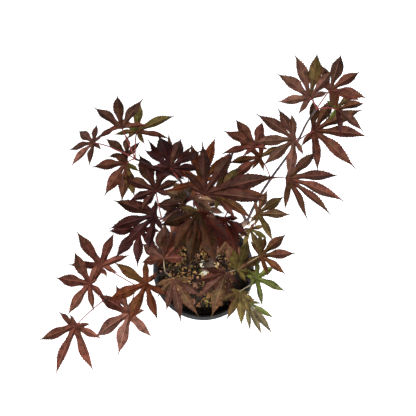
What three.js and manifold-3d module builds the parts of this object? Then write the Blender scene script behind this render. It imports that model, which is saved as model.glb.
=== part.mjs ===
// A young grafted Japanese maple in a round nursery pot, each sub-part a closed mesh of its own.
// Millimetres, +Z up, with the origin at the middle of the pot's underside. Headings are degrees in
// plan, anticlockwise from +X. Shoots run from node to node, and leaves spring from the nodes.
import * as THREE from "three";
import { mergeVertices } from "three/addons/utils/BufferGeometryUtils.js";
import Module from "manifold-3d";

const wasm = await Module();
wasm.setup();
const { Manifold, Mesh: SolidMesh } = wasm;

// ---- Driving sizes -------------------------------------------------------------------------------

const TOUCH_GAP = 0.4;

const POT = {
  height: 160,
  rimRadius: 84,
  baseRadius: 62.5,
  shoulderRadius: 77.5,
  wall: 2,
  floor: 3,
  lipWidth: 6,
  lipDepth: 14,
  lipBulge: 1,
  softEdge: 2,
  facets: 36,
  drainHoles: 6,
  drainRadius: 6,
  drainRing: 44,
  drainSides: 8,
};

// The soil is flat round the trunk, swells beyond that and stands highest towards its high side.
const SOIL = {
  level: 138,
  swell: 8,
  slope: 4,
  highSide: 140,
  bumps: 5,
  bumpHeight: 0.9,
  bumpTwist: 0.4,
  flatRadius: 24,
  rings: 3,
  wallGap: 0.5,
};

// Nodes are the swellings where shoots fork and leaf stalks spring.
const NODE_RADIUS = 2.4;
const NODES = {
  graft: [60, 45, 341],
  graft_bud: [70.5, 43, 341],
  leader_low: [37, 58, 373],
  leader_fork: [-14, 62, 425],
  leader_top: [-27, 75, 456],
  left_tip: [-80, 104, 441],
  middle_tip: [-50, 37, 405],
  right_low: [88, 92, 392],
  right_middle: [117, 128, 437],
  right_tip: [134, 155, 472],
  trunk_low_left: [13, 12, 178],
  low_left: [-60, -10, 212],
  low_left_middle: [-98, -35, 252],
  low_left_tip: [-140, -58, 290],
  trunk_low_right: [15, 14, 186],
  low_right: [55, -5, 203],
  low_right_tip: [76, -29, 214],
};

const TRUNK = {
  foot: [8, 5],
  firstRise: [0.8, 1, 8],
  route: [[11, 9, 162], [18, 17, 200], [31, 28, 260], [50, 40.5, 325], [58.5, 44.5, 339]],
  footRadius: 6.2,
  topRadius: 3.6,
  flare: 3.6,
  flareHeight: 11,
  roots: 3,
  rootSwell: 0.35,
  sides: 10,
  stations: 10,
  graftRadius: 4.6,
  graftFacets: 12,
  stubRadius: 2.3,
  stubEnd: [63, 40, 347],
  stubSides: 8,
};

// A shoot runs from a node past a place to a node. It has a radius at each end, and its start stands
// off the middle of the first node.
const SHOOT = { sides: 6, stations: 5, lead: 2 };
function shoot(from, via, to, radii, standOff = NODE_RADIUS + TOUCH_GAP) {
  return { from, via, to, radii, standOff };
}
const SHOOTS = {
  leader_lower: shoot("graft", [52, 55, 356], "leader_low", [2.2, 2], 5.2),
  leader_middle: shoot("leader_low", [12, 60, 400], "leader_fork", [2.1, 1.8], 5),
  leader_upper: shoot("leader_fork", [-22, 69, 441], "leader_top", [1.7, 1.5], 3.6),
  left_bough: shoot("leader_top", [-50, 88, 450], "left_tip", [1.5, 1.2]),
  middle_bough: shoot("leader_fork", [-30, 49, 416], "middle_tip", [1.5, 1.3]),
  right_bough_lower: shoot("graft", [72, 69, 363], "right_low", [2.1, 2], 5.2),
  right_bough_middle: shoot("right_low", [103, 110, 415], "right_middle", [2, 1.7], 5),
  right_bough_upper: shoot("right_middle", [126, 145, 458], "right_tip", [1.6, 1.3], 7.2),
  low_left_bough: shoot("trunk_low_left", [-21, 4, 190], "low_left", [2.2, 1.9], 7.6),
  low_left_bough_middle: shoot("low_left", [-78, -24, 232], "low_left_middle", [1.8, 1.6], 3.6),
  low_left_bough_outer: shoot("low_left_middle", [-120, -47, 271], "low_left_tip", [1.5, 1.3], 6),
  low_right_bough: shoot("trunk_low_right", [36, 2, 192], "low_right", [1.9, 1.6], 7.6),
  low_right_bough_outer: shoot("low_right", [66, -19, 208], "low_right_tip", [1.5, 1.3], 3.6),
};

// A blade has seven lobes. Their angles from the middle lobe and their reach are given by steps out
// from it. It droops towards its lobes' tips.
const BLADE = {
  lobeAngle: [0, 40, 82, 128],
  lobeReach: [1, 0.93, 0.72, 0.36],
  halfWidth: 0.135,
  widestAt: 0.56,
  sinus: 0.17,
  stalkSinus: 0.05,
  droop: 0.16,
  thickness: 1.8,
};
const STALK = { radius: 1.2, sides: 3, stations: 3, arch: 0.18 };

// A leaf is given by its hub, the heading and length of its middle lobe, and what sets it apart: its
// pitch, its roll, how widely and how far the lobes on its two sides [left, right] spread, how broad
// its lobes are, and the lobes that stray from an even spread as [step, degrees, reach].
function leaf(hub, heading, length, sides = {}) {
  const even = { pitch: -12, roll: 0, spread: [1, 1], reach: [1, 1], width: 1, strays: [] };
  return { hub, heading, length, ...even, ...sides };
}

// A mass of foliage is the leaves that spring from one node.
const MASSES = {
  foliage_right_lower: { node: "right_low", tone: "maroon", leaves: [
    leaf([73, 113, 416], 175, 40, {
      pitch: -20, spread: [0.85, 1.15], reach: [1.15, 1.3],
      strays: [[-3, 0, 1.6]],
    }),
    leaf([106, 85, 420], 350, 83, {
      pitch: -20, roll: -15, spread: [0.65, 0.65], reach: [1.05, 0.9], width: 0.68,
      strays: [[-3, -10, 1.5]],
    }),
  ] },
  foliage_right_middle: { node: "right_middle", tone: "maroon", leaves: [
    leaf([135, 138, 444], 5, 68, {
      pitch: -4, roll: -8, spread: [0.65, 1.05], reach: [1.2, 1], width: 0.85,
      strays: [[3, -5, 1.6]],
    }),
    leaf([108, 120, 466], 180, 45, {
      pitch: -4, roll: -10, spread: [0.95, 0.75], reach: [1.2, 1.25],
      strays: [[-3, 10, 1.5], [-1, -10, 1], [1, 0, 0.85]],
    }),
    leaf([65, 120, 438], 115, 50, {
      pitch: -16, spread: [0.8, 1], reach: [1, 0.85],
      strays: [[1, -10, 1]],
    }),
  ] },
  foliage_right_tip: { node: "right_tip", tone: "bronze", leaves: [
    leaf([124, 162, 488], 105, 55, {
      pitch: 12, roll: 5, spread: [1, 0.65], reach: [0.9, 1.15],
      strays: [[1, -10, 1], [3, 0, 1.2]],
    }),
    leaf([148, 173, 484], 35, 46, {
      pitch: -2, spread: [0.8, 0.7], reach: [1.1, 1],
      strays: [[-3, -25, 1.3], [-2, 10, 1]],
    }),
    leaf([159, 158, 464], 5, 42, { width: 0.9 }),
  ] },
  foliage_graft: { node: "graft_bud", tone: "olive", leaves: [
    leaf([71, 49, 379], 5, 46, {
      pitch: -16, spread: [0.75, 1.4], reach: [1.1, 0.9],
      strays: [[-3, 45, 1], [-2, 10, 0.5]],
    }),
    leaf([66, 39, 322], 295, 29, {
      spread: [0.95, 0.95], reach: [1, 0.9],
      strays: [[-1, -10, 1]],
    }),
  ] },
  foliage_centre_low: { node: "leader_low", tone: "crimson", leaves: [
    leaf([28, 40, 395], 260, 38, { spread: [0.8, 0.65], reach: [1.3, 1.35], width: 1.15 }),
  ] },
  foliage_centre: { node: "leader_fork", tone: "purple", leaves: [
    leaf([4, 49, 490], 55, 71, {
      pitch: -16, roll: -5, spread: [0.75, 0.75], reach: [0.9, 1.3], width: 0.75,
      strays: [[-3, 10, 0.5], [2, 10, 0.8]],
    }),
    leaf([-3, 37, 452], 260, 59, {
      spread: [0.7, 0.75], reach: [1.1, 1.1], width: 1.25,
      strays: [[3, 0, 0.6]],
    }),
  ] },
  foliage_left_top: { node: "leader_top", tone: "purple", leaves: [
    leaf([-36, 86, 464], 75, 47, {
      pitch: -18, roll: 5, spread: [0.8, 0.85], reach: [1.15, 1.05], width: 1.25,
    }),
  ] },
  foliage_left_far: { node: "left_tip", tone: "bronze", leaves: [
    leaf([-133, 128, 430], 185, 36, {
      pitch: -20, roll: 15, spread: [1.05, 1.1], reach: [1.1, 1.05], width: 1.15,
    }),
    leaf([-95, 138, 456], 100, 54, {
      pitch: -16, spread: [0.7, 0.85], reach: [1, 0.95], width: 0.9,
      strays: [[-3, 20, 1], [2, 15, 0.75], [3, 0, 0.6]],
    }),
    leaf([-80, 140, 436], 90, 50, {
      pitch: -18, roll: -5, spread: [1.1, 1.25], reach: [0.75, 1.1], width: 0.85,
      strays: [[-3, 10, 1], [-1, -10, 1], [3, -15, 1]],
    }),
    leaf([-93, 114, 420], 135, 42, {
      pitch: -14, roll: 5, spread: [1, 0.95], reach: [1, 0.8], width: 1.05,
      strays: [[-3, 25, 1.1], [1, 0, 0.6], [2, 0, 0.5]],
    }),
    leaf([-92, 102, 430], 225, 45, {
      roll: -5, spread: [0.8, 1], reach: [1.05, 1], width: 1.15,
      strays: [[-3, 25, 0.8], [-2, 0, 0.6], [2, -10, 1.15]],
    }),
  ] },
  foliage_left_middle: { node: "middle_tip", tone: "purple", leaves: [
    leaf([-55, 66, 436], 115, 53, {
      pitch: -2, roll: 5, spread: [1.05, 1.05], reach: [0.85, 0.85], width: 1.2,
    }),
    leaf([-57, 38, 422], 190, 57, {
      pitch: -4, roll: 5, spread: [0.85, 0.65], reach: [1, 0.95],
      strays: [[-3, -20, 1], [-1, -10, 1.1]],
    }),
    leaf([-77, 24, 408], 265, 43, {
      pitch: -16, roll: -5, spread: [1.1, 0.95], reach: [0.8, 1.1], width: 1.1,
    }),
  ] },
  foliage_over_pot: { node: "low_left", tone: "brown", leaves: [
    leaf([-60, 7, 240], 100, 49, { roll: -5, spread: [1.05, 0.75], reach: [0.95, 0.85], width: 1.7 }),
    leaf([-44, -23, 240], 280, 64, {
      pitch: -16, roll: 20, spread: [0.65, 0.65], reach: [1.05, 0.85],
      strays: [[-3, 5, 1.6]],
    }),
  ] },
  foliage_low_left: { node: "low_left_middle", tone: "maroon", leaves: [
    leaf([-144, -9, 292], 125, 65, {
      pitch: -4, roll: 10, spread: [1.35, 1.2], reach: [0.75, 0.85], width: 0.9,
      strays: [[-3, 5, 1.2], [2, 10, 0.85]],
    }),
    leaf([-103, -75, 284], 205, 66, {
      pitch: -20, roll: 5, spread: [1.3, 1.15], reach: [0.95, 0.95], width: 1.1,
      strays: [[-3, 20, 0.9], [-2, 10, 1], [1, -10, 1], [2, 10, 1]],
    }),
    leaf([-77, -36, 314], 200, 57, {
      pitch: -8, roll: -10, spread: [1.05, 1.2], reach: [1.05, 1],
      strays: [[-2, -10, 0.8], [3, -5, 1.4]],
    }),
  ] },
  foliage_low_left_tip: { node: "low_left_tip", tone: "maroon", leaves: [
    leaf([-174, -92, 300], 250, 71, {
      pitch: -4, roll: 20, spread: [1.05, 1.15], reach: [0.9, 0.85], width: 0.85,
      strays: [[-3, 25, 0.8], [-2, -5, 0.8], [3, -20, 0.9]],
    }),
    leaf([-154, -36, 316], 170, 57, {
      pitch: -20, roll: -5, spread: [1.3, 1.15], width: 1.1,
      strays: [[-3, 0, 0.5], [-2, -10, 0.75], [2, 0, 0.85], [3, -15, 1.3]],
    }),
  ] },
  foliage_low_right: { node: "low_right", tone: "olive", leaves: [
    leaf([85, 9, 262], 40, 61, {
      pitch: -22, roll: 5, spread: [0.65, 0.85], reach: [0.75, 1.05], width: 0.8,
      strays: [[-3, 0, 1.3], [1, 5, 0.8], [3, 0, 1.6]],
    }),
    leaf([79, -23, 250], 345, 50, {
      pitch: -16, roll: -10, spread: [1.15, 1.4], reach: [0.8, 0.95], width: 0.9,
      strays: [[-2, 0, 0.5], [3, 0, 1.3]],
    }),
    leaf([53, -10, 243], 70, 55, { spread: [0.65, 1], reach: [0.95, 1] }),
    leaf([35, -14, 232], 220, 54, { roll: 5, spread: [0.8, 0.65], reach: [1.3, 0.9] }),
  ] },
  foliage_low_right_front: { node: "low_right_tip", tone: "green", leaves: [
    leaf([54, -43, 254], 275, 47, { pitch: -6, roll: -10, spread: [0.6, 0.85], reach: [0.85, 0.9] }),
    leaf([67, -55, 208], 315, 65, {
      spread: [0.45, 0.45], reach: [0.85, 0.95], width: 0.58,
      strays: [[2, 0, 0.6], [3, 0, 0.7]],
    }),
  ] },
};

const COLOURS = {
  plastic: 0x17181a,
  compost: 0x3d2d1c,
  bark: 0x7d6a5c,
  youngBark: 0x3c3633,
  purple: 0x3d2226,
  crimson: 0x4a1516,
  maroon: 0x52302a,
  bronze: 0x55402a,
  brown: 0x7a5a48,
  olive: 0x625a30,
  green: 0x6f7d3a,
};

// ---- Solids and geometries -----------------------------------------------------------------------

const vector = (point) => new THREE.Vector3(...point);
const radians = THREE.MathUtils.degToRad;
const lerp = THREE.MathUtils.lerp;

// A closed geometry as a solid, with its shared corners merged and its slivers at poles dropped.
function solidOf(geometry) {
  const bare = new THREE.BufferGeometry();
  bare.setAttribute("position", geometry.getAttribute("position"));
  bare.setIndex(geometry.getIndex());
  const merged = mergeVertices(bare);
  const corners = merged.getIndex().array;
  const kept = [];
  for (let start = 0; start < corners.length; start += 3) {
    const triangle = corners.slice(start, start + 3);
    if (new Set(triangle).size === 3) kept.push(...triangle);
  }
  const vertProperties = merged.getAttribute("position").array;
  return new Manifold(new SolidMesh({ numProp: 3, vertProperties, triVerts: new Uint32Array(kept) }));
}

function geometryOf(solid) {
  const mesh = solid.getMesh();
  const geometry = new THREE.BufferGeometry();
  geometry.setAttribute("position", new THREE.BufferAttribute(mesh.vertProperties, 3));
  geometry.setIndex(new THREE.BufferAttribute(mesh.triVerts, 1));
  geometry.computeVertexNormals();
  return geometry;
}

// Moves every corner of a geometry to where place(corner) puts it.
function reshape(geometry, place) {
  const position = geometry.getAttribute("position");
  for (let index = 0; index < position.count; index += 1) {
    const corner = new THREE.Vector3().fromBufferAttribute(position, index);
    position.setXYZ(index, ...place(corner).toArray());
  }
  return geometry;
}

// A closed cylinder bent along a smooth route. radiusAt takes the share of the route and the angle
// round the limb. A flat foot is cut level.
function limbSolid(route, radiusAt, sides, stations, flatFoot = false) {
  const curve = new THREE.CatmullRomCurve3(route, false, "centripetal");
  const { normals, binormals } = curve.computeFrenetFrames(stations, false);
  const straight = new THREE.CylinderGeometry(1, 1, stations, sides, stations);
  return solidOf(reshape(straight, (corner) => {
    const station = Math.round(corner.y + stations / 2);
    const share = station / stations;
    const angle = Math.atan2(corner.z, corner.x);
    const radius = Math.hypot(corner.x, corner.z) * radiusAt(share, angle);
    const point = curve.getPointAt(share);
    point.addScaledVector(binormals[station], Math.cos(angle) * radius);
    point.addScaledVector(normals[station], Math.sin(angle) * radius);
    if (flatFoot && station === 0) point.z = route[0].z;
    return point;
  }));
}

// A profile of [radius, height] corners turned round the Z axis.
function turned(profile) {
  const points = profile.map(([radius, height]) => new THREE.Vector2(radius, height));
  return new THREE.LatheGeometry(points, POT.facets).rotateX(Math.PI / 2);
}

// ---- Pot and soil --------------------------------------------------------------------------------

function potInnerRadius(height) {
  const share = (height - POT.floor) / (POT.height - POT.floor);
  return lerp(POT.baseRadius - POT.wall, POT.rimRadius - POT.lipWidth, share);
}

// A tapered shell with a turned-down lip round its mouth and drain holes through its flat floor.
function potSolid() {
  const lipFoot = POT.height - POT.lipDepth;
  const shell = turned([
    [0, 0],
    [POT.baseRadius - POT.softEdge, 0],
    [POT.baseRadius, POT.softEdge],
    [POT.shoulderRadius, lipFoot - 2 * POT.softEdge],
    [POT.rimRadius - POT.lipBulge, lipFoot],
    [POT.rimRadius, POT.height - POT.softEdge],
    [POT.rimRadius - POT.lipBulge, POT.height],
    [POT.rimRadius - POT.lipWidth, POT.height],
    [potInnerRadius(POT.floor), POT.floor],
    [0, POT.floor],
  ]);
  const holes = [];
  for (let hole = 0; hole < POT.drainHoles; hole += 1) {
    const angle = ((hole + 0.5) / POT.drainHoles) * Math.PI * 2;
    const { drainRadius, drainSides, floor } = POT;
    const drill = new THREE.CylinderGeometry(drainRadius, drainRadius, 3 * floor, drainSides);
    drill.rotateX(Math.PI / 2);
    drill.translate(Math.cos(angle) * POT.drainRing, Math.sin(angle) * POT.drainRing, 0);
    holes.push(solidOf(drill));
  }
  return solidOf(shell).subtract(Manifold.union(holes));
}

function soilHeight(radius, angle) {
  const edge = Math.max(0, (radius - SOIL.flatRadius) / (potInnerRadius(SOIL.level) - SOIL.flatRadius));
  const tilt = SOIL.slope * Math.cos(angle - radians(SOIL.highSide));
  const bump = SOIL.bumpHeight * Math.sin(SOIL.bumps * angle + SOIL.bumpTwist * radius);
  return SOIL.level + edge * (SOIL.swell * (1 - edge) + tilt + bump);
}

// Compost that fills the pot to a gap's width of its wall, under an uneven top.
function soilSolid() {
  const bottom = POT.floor + TOUCH_GAP;
  const edge = potInnerRadius(SOIL.level);
  const profile = [[0, bottom], [potInnerRadius(bottom) - SOIL.wallGap, bottom]];
  for (let ring = SOIL.rings; ring >= 0; ring -= 1) profile.push([(edge * ring) / SOIL.rings, SOIL.level]);
  return solidOf(reshape(turned(profile), (corner) => {
    if (corner.z < SOIL.level) return corner;
    const angle = Math.atan2(corner.y, corner.x);
    const reach = potInnerRadius(soilHeight(edge, angle)) - SOIL.wallGap;
    const radius = (Math.hypot(corner.x, corner.y) * reach) / edge;
    return new THREE.Vector3(Math.cos(angle) * radius, Math.sin(angle) * radius, soilHeight(radius, angle));
  }));
}

// ---- Wood ----------------------------------------------------------------------------------------

// The trunk tapers from root swellings at a flat foot up to the swollen graft with its sawn stub.
function trunkSolid() {
  const foot = new THREE.Vector3(...TRUNK.foot, SOIL.level + TOUCH_GAP);
  const route = [foot, foot.clone().add(vector(TRUNK.firstRise)), ...TRUNK.route.map(vector)];
  const length = new THREE.CatmullRomCurve3(route).getLength();
  const stemRadius = (share, angle) => {
    const flare = TRUNK.flare * Math.exp((-share * length) / TRUNK.flareHeight);
    const roots = 1 + TRUNK.rootSwell * Math.cos(TRUNK.roots * angle);
    return lerp(TRUNK.footRadius, TRUNK.topRadius, share) + flare * roots;
  };
  const stem = limbSolid(route, stemRadius, TRUNK.sides, TRUNK.stations, true);
  const ball = new THREE.SphereGeometry(TRUNK.graftRadius, TRUNK.graftFacets, TRUNK.graftFacets / 2);
  const graft = solidOf(ball.translate(...NODES.graft));
  const stubRoute = [vector(NODES.graft), vector(TRUNK.stubEnd)];
  const stub = limbSolid(stubRoute, () => TRUNK.stubRadius, TRUNK.stubSides, 1);
  return Manifold.union([stem, graft, stub]);
}

// A shoot starts and ends clear of the nodes it joins, square to its own run.
function shootSolid({ from, via, to, radii, standOff }) {
  const [first, middle, last] = [NODES[from], via, NODES[to]].map(vector);
  const outward = middle.clone().sub(first).normalize();
  const inward = middle.clone().sub(last).normalize();
  const leave = first.clone().addScaledVector(outward, standOff);
  const arrive = last.clone().addScaledVector(inward, NODE_RADIUS + TOUCH_GAP);
  const leadOut = leave.clone().addScaledVector(outward, SHOOT.lead);
  const leadIn = arrive.clone().addScaledVector(inward, SHOOT.lead);
  const radiusAt = (share) => lerp(...radii, share);
  return limbSolid([leave, leadOut, middle, leadIn, arrive], radiusAt, SHOOT.sides, SHOOT.stations);
}

// ---- Foliage -------------------------------------------------------------------------------------

// The outline of a blade with its hub at the origin and its middle lobe along +X.
function bladeShape({ length, spread, reach, width, strays }) {
  const corners = [];
  const add = (angle, along, aside) => {
    corners.push(new THREE.Vector2(along, aside).rotateAround(new THREE.Vector2(), angle));
  };
  const sideOf = (step) => (step > 0 ? 0 : 1);
  const strayOf = (step) => strays.find(([lobe]) => lobe === step) ?? [step, 0, 1];
  const angleOf = (step) => {
    const even = Math.sign(step) * BLADE.lobeAngle[Math.abs(step)] * spread[sideOf(step)];
    return radians(even + strayOf(step)[1]);
  };
  add(Math.PI, length * BLADE.stalkSinus, 0);
  for (let step = -3; step <= 3; step += 1) {
    const side = sideOf(step);
    const evenReach = BLADE.lobeReach[Math.abs(step)] * (step === 0 ? 1 : reach[side]);
    const lobe = length * evenReach * strayOf(step)[2];
    const half = lobe * BLADE.halfWidth * width * Math.min(1, spread[side]);
    add(angleOf(step), lobe * BLADE.widestAt, -half);
    add(angleOf(step), lobe, 0);
    add(angleOf(step), lobe * BLADE.widestAt, half);
    if (step < 3) add((angleOf(step) + angleOf(step + 1)) / 2, length * BLADE.sinus, 0);
  }
  return new THREE.Shape(corners);
}

// A thin pad of the blade's outline, set at its hub, pitched, rolled and drooping towards its tips.
function bladeSolid({ hub, heading, length, pitch, roll, ...sides }) {
  const settings = { depth: BLADE.thickness, bevelEnabled: false };
  const flat = new THREE.ExtrudeGeometry(bladeShape({ length, ...sides }), settings);
  const pose = new THREE.Euler(radians(roll), radians(-pitch), radians(heading), "ZYX");
  return solidOf(reshape(flat, (corner) => {
    const out = Math.hypot(corner.x, corner.y);
    const point = corner.clone();
    point.z -= BLADE.thickness / 2;
    point.applyEuler(pose).add(vector(hub));
    point.z -= (BLADE.droop * out * out) / length;
    return point;
  }));
}

// A leaf stalk that leaves its node upwards and bends over to the hub of the blade.
function stalkSolid(node, hub) {
  const middle = node.clone().lerp(hub, 0.5);
  middle.z += node.distanceTo(hub) * STALK.arch;
  return limbSolid([node, middle, hub], () => STALK.radius, STALK.sides, STALK.stations);
}

function massSolid({ node, leaves }) {
  const spring = vector(NODES[node]);
  const swelling = new THREE.OctahedronGeometry(NODE_RADIUS).translate(...NODES[node]);
  const pieces = [solidOf(swelling)];
  for (const row of leaves) pieces.push(stalkSolid(spring, vector(row.hub)), bladeSolid(row));
  return Manifold.union(pieces);
}

// ---- The plant -----------------------------------------------------------------------------------

const plant = new THREE.Group();

function add(name, solid, colour, roughness) {
  const material = new THREE.MeshStandardMaterial({ color: COLOURS[colour], roughness, metalness: 0 });
  const mesh = new THREE.Mesh(geometryOf(solid), material);
  mesh.name = name;
  plant.add(mesh);
}

add("pot", potSolid(), "plastic", 0.5);
add("soil", soilSolid(), "compost", 0.95);
add("trunk", trunkSolid(), "bark", 0.85);
for (const [name, shoot] of Object.entries(SHOOTS)) add(name, shootSolid(shoot), "youngBark", 0.6);
for (const [name, mass] of Object.entries(MASSES)) add(name, massSolid(mass), mass.tone, 0.7);

export default plant;
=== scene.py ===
import math
import random

import bpy
from mathutils import Euler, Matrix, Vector, noise


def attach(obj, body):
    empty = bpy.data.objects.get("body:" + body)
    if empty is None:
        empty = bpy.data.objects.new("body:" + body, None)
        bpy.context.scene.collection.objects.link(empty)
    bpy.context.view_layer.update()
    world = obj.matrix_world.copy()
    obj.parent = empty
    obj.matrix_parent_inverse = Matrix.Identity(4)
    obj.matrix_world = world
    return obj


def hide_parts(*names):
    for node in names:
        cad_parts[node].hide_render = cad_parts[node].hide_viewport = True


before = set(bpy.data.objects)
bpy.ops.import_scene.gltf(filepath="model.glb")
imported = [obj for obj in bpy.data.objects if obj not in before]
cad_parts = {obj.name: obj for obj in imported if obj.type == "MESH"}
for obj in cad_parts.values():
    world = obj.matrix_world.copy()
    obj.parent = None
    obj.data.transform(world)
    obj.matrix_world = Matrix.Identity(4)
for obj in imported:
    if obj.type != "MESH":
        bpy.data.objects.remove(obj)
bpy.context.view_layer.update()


# ---- Camera, light and floor -------------------------------------
# The plant stands on a plain white studio floor under a broad soft light, and is seen from almost
# straight above.
MM = 0.001
LENS_MM = 48
SENSOR_MM = 36
CAMERA_PLACE = (0.0075, -0.0927, 1.0817)
CAMERA_TILT = math.radians(12)
STUDIO_TINT = (1.0, 0.99, 0.97)
STUDIO_STRENGTH = 0.32
FLOOR_WIDTH = 6
FLOOR_PAINT = (0.93, 0.93, 0.93)
FLOOR_GLOW = 0.5

bpy.ops.object.camera_add(location=CAMERA_PLACE, rotation=(CAMERA_TILT, 0, 0))
camera = bpy.context.object
camera.data.lens = LENS_MM
camera.data.sensor_width = SENSOR_MM
scene = bpy.context.scene
scene.camera = camera
scene.view_settings.view_transform = "Standard"

studio = bpy.data.worlds.new("studio")
studio.use_nodes = True
backdrop = studio.node_tree.nodes["Background"]
backdrop.inputs["Color"].default_value = (*STUDIO_TINT, 1)
backdrop.inputs["Strength"].default_value = STUDIO_STRENGTH
scene.world = studio


def softbox(name, place, aim, width, watts, colour=(1, 1, 1)):
    """A large square lamp at place, turned to face aim."""
    turn = (Vector(aim) - Vector(place)).to_track_quat("-Z", "Y").to_euler()
    bpy.ops.object.light_add(type="AREA", location=place, rotation=turn)
    lamp = bpy.context.object
    lamp.name = name
    lamp.data.size = width
    lamp.data.energy = watts
    lamp.data.color = colour


softbox("key_softbox", place=(0.25, -1.6, 2.0), aim=(0, 0, 0.3), width=1.1, watts=88)
softbox("side_softbox", place=(1.8, 0.1, 1.5), aim=(0, 0, 0.25), width=0.9, watts=30,
        colour=(0.82, 0.91, 1))


def begin_piece():
    """Lets go of whatever is selected, so that the next operator meets only the new piece."""
    if bpy.context.object and bpy.context.object.mode != "OBJECT":
        bpy.ops.object.mode_set(mode="OBJECT")
    bpy.ops.object.select_all(action="DESELECT")


def choose(*pieces):
    """Selects these pieces and nothing else, and makes the first one active."""
    begin_piece()
    for piece in pieces:
        piece.select_set(True)
    bpy.context.view_layer.objects.active = pieces[0]


def finish_piece(piece, name, *finishes):
    """Names a piece, gives it its finishes, puts its place into its mesh and lets it ride with the plant."""
    choose(piece)
    piece.name = name
    piece.data.name = name
    bpy.ops.object.transform_apply(location=True, rotation=True, scale=True)
    for finish in finishes:
        piece.data.materials.append(finish)
    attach(piece, "root")


def apply_modifier(piece, kind, **settings):
    """Adds one modifier with these settings to a piece and applies it."""
    bpy.context.view_layer.objects.active = piece
    modifier = piece.modifiers.new(kind.lower(), kind)
    for setting, value in settings.items():
        setattr(modifier, setting, value)
    bpy.ops.object.modifier_apply(modifier=modifier.name)


def plain_finish(name, colour, roughness, specular=0.5):
    """A material with one shader, ready for its pattern: returns it, its nodes, links and shader."""
    finish = bpy.data.materials.new(name)
    finish.use_nodes = True
    nodes = finish.node_tree.nodes
    shader = nodes["Principled BSDF"]
    shader.inputs["Base Color"].default_value = (*colour, 1)
    shader.inputs["Roughness"].default_value = roughness
    shader.inputs["Specular IOR Level"].default_value = specular
    return finish, nodes, finish.node_tree.links, shader


begin_piece()
bpy.ops.mesh.primitive_plane_add(size=FLOOR_WIDTH, location=(0, 0, 0))
floor = bpy.context.object
floor.name = "studio_floor"
floor_finish, _, _, shader = plain_finish("floor_paint", FLOOR_PAINT, roughness=0.9, specular=0.1)
shader.inputs["Emission Color"].default_value = (1, 1, 1, 1)
shader.inputs["Emission Strength"].default_value = FLOOR_GLOW
floor.data.materials.append(floor_finish)


# ---- Pot ---------------------------------------------------------
# A round nursery pot moulded in thin black plastic: a tapering wall with a shoulder step, a rolled lip
# with fine moulding rings, and drain holes punched through its floor.
POT_HEIGHT = 160 * MM
RIM_RADIUS = 84 * MM
BASE_RADIUS = 62.5 * MM
SHOULDER_RADIUS = 77.5 * MM
LIP_WIDTH = 6 * MM
LIP_RINGS = 3
# How far the corners of the shoulder and of the lip lie inside the rim's edge and below its top, in mm.
LIP_PROFILE = (
    (6.5, 18), (5.9, 14.5), (1.4, 14), (0.5, 13), (0.9, 9), (0.2, 4.5), (0, 2), (0.6, 0.5),
)
LIP_GROOVE = 0.45 * MM
WALL_THICKNESS = 2 * MM
WALL_RISE = 140 * MM
WALL_STEPS = 8
FOOT_HEIGHT = 2 * MM
FLOOR_THICKNESS = 3 * MM
INNER_WALL_HEIGHTS = (155, 150, 148.5, 147, 138, 90, 40, 6)
INNER_LEDGE_HEIGHTS = (150, 148.5)
INNER_LEDGE = 0.7 * MM
POT_SIDES = 120
DRAIN_HOLES = 6
DRAIN_RADIUS = 6 * MM
DRAIN_RING = 44 * MM
DRAIN_SIDES = 24

# The outline of the pot's wall, from its underside up the outside, over the lip and down the inside.
pot_outline = [
    (BASE_RADIUS - FOOT_HEIGHT, 0),
    (BASE_RADIUS - 0.6 * MM, 0.6 * MM),
    (BASE_RADIUS, FOOT_HEIGHT),
]
for step in range(1, WALL_STEPS):
    share = step / WALL_STEPS
    radius = BASE_RADIUS + share * (SHOULDER_RADIUS - BASE_RADIUS)
    pot_outline.append((radius, FOOT_HEIGHT + share * WALL_RISE))
for inside, below in LIP_PROFILE:
    pot_outline.append((RIM_RADIUS - inside * MM, POT_HEIGHT - below * MM))
for ring in range(LIP_RINGS * 2 + 1):
    share = ring / (LIP_RINGS * 2)
    groove = LIP_GROOVE if ring % 2 else 0
    pot_outline.append((RIM_RADIUS - 1.2 * MM - share * (LIP_WIDTH - 2 * MM), POT_HEIGHT - groove))
pot_outline.append((RIM_RADIUS - LIP_WIDTH, POT_HEIGHT - 1.2 * MM))


def pot_inner_radius(height):
    """The radius of the pot's inner wall at a height."""
    share = (height - FLOOR_THICKNESS) / (POT_HEIGHT - FLOOR_THICKNESS)
    base = BASE_RADIUS - WALL_THICKNESS
    return base + share * (RIM_RADIUS - LIP_WIDTH - base)


for height in INNER_WALL_HEIGHTS:
    ledge = INNER_LEDGE if height in INNER_LEDGE_HEIGHTS else 0
    pot_outline.append((pot_inner_radius(height * MM) - ledge, height * MM))
pot_outline.append((pot_inner_radius(FLOOR_THICKNESS) - 2 * MM, FLOOR_THICKNESS))

begin_piece()
bpy.ops.mesh.primitive_circle_add(vertices=POT_SIDES, radius=pot_outline[0][0], fill_type="NGON")
pot = bpy.context.object
bpy.ops.object.mode_set(mode="EDIT")
for (last_radius, last_height), (radius, height) in zip(pot_outline, pot_outline[1:]):
    rise = (0, 0, height - last_height)
    bpy.ops.mesh.extrude_region_move(TRANSFORM_OT_translate={"value": rise})
    scale = radius / last_radius
    bpy.ops.transform.resize(value=(scale, scale, 1), center_override=(0, 0, height))
bpy.ops.mesh.select_all(action="SELECT")
bpy.ops.mesh.normals_make_consistent(inside=False)
for hole in range(DRAIN_HOLES):
    angle = (hole + 0.5) / DRAIN_HOLES * math.tau
    place = (DRAIN_RING * math.cos(angle), DRAIN_RING * math.sin(angle), 0)
    begin_piece()
    bpy.ops.mesh.primitive_cylinder_add(
        vertices=DRAIN_SIDES, radius=DRAIN_RADIUS, depth=4 * FLOOR_THICKNESS, location=place)
    drill = bpy.context.object
    apply_modifier(pot, "BOOLEAN", object=drill, operation="DIFFERENCE", solver="EXACT")
    bpy.data.objects.remove(drill)


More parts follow.
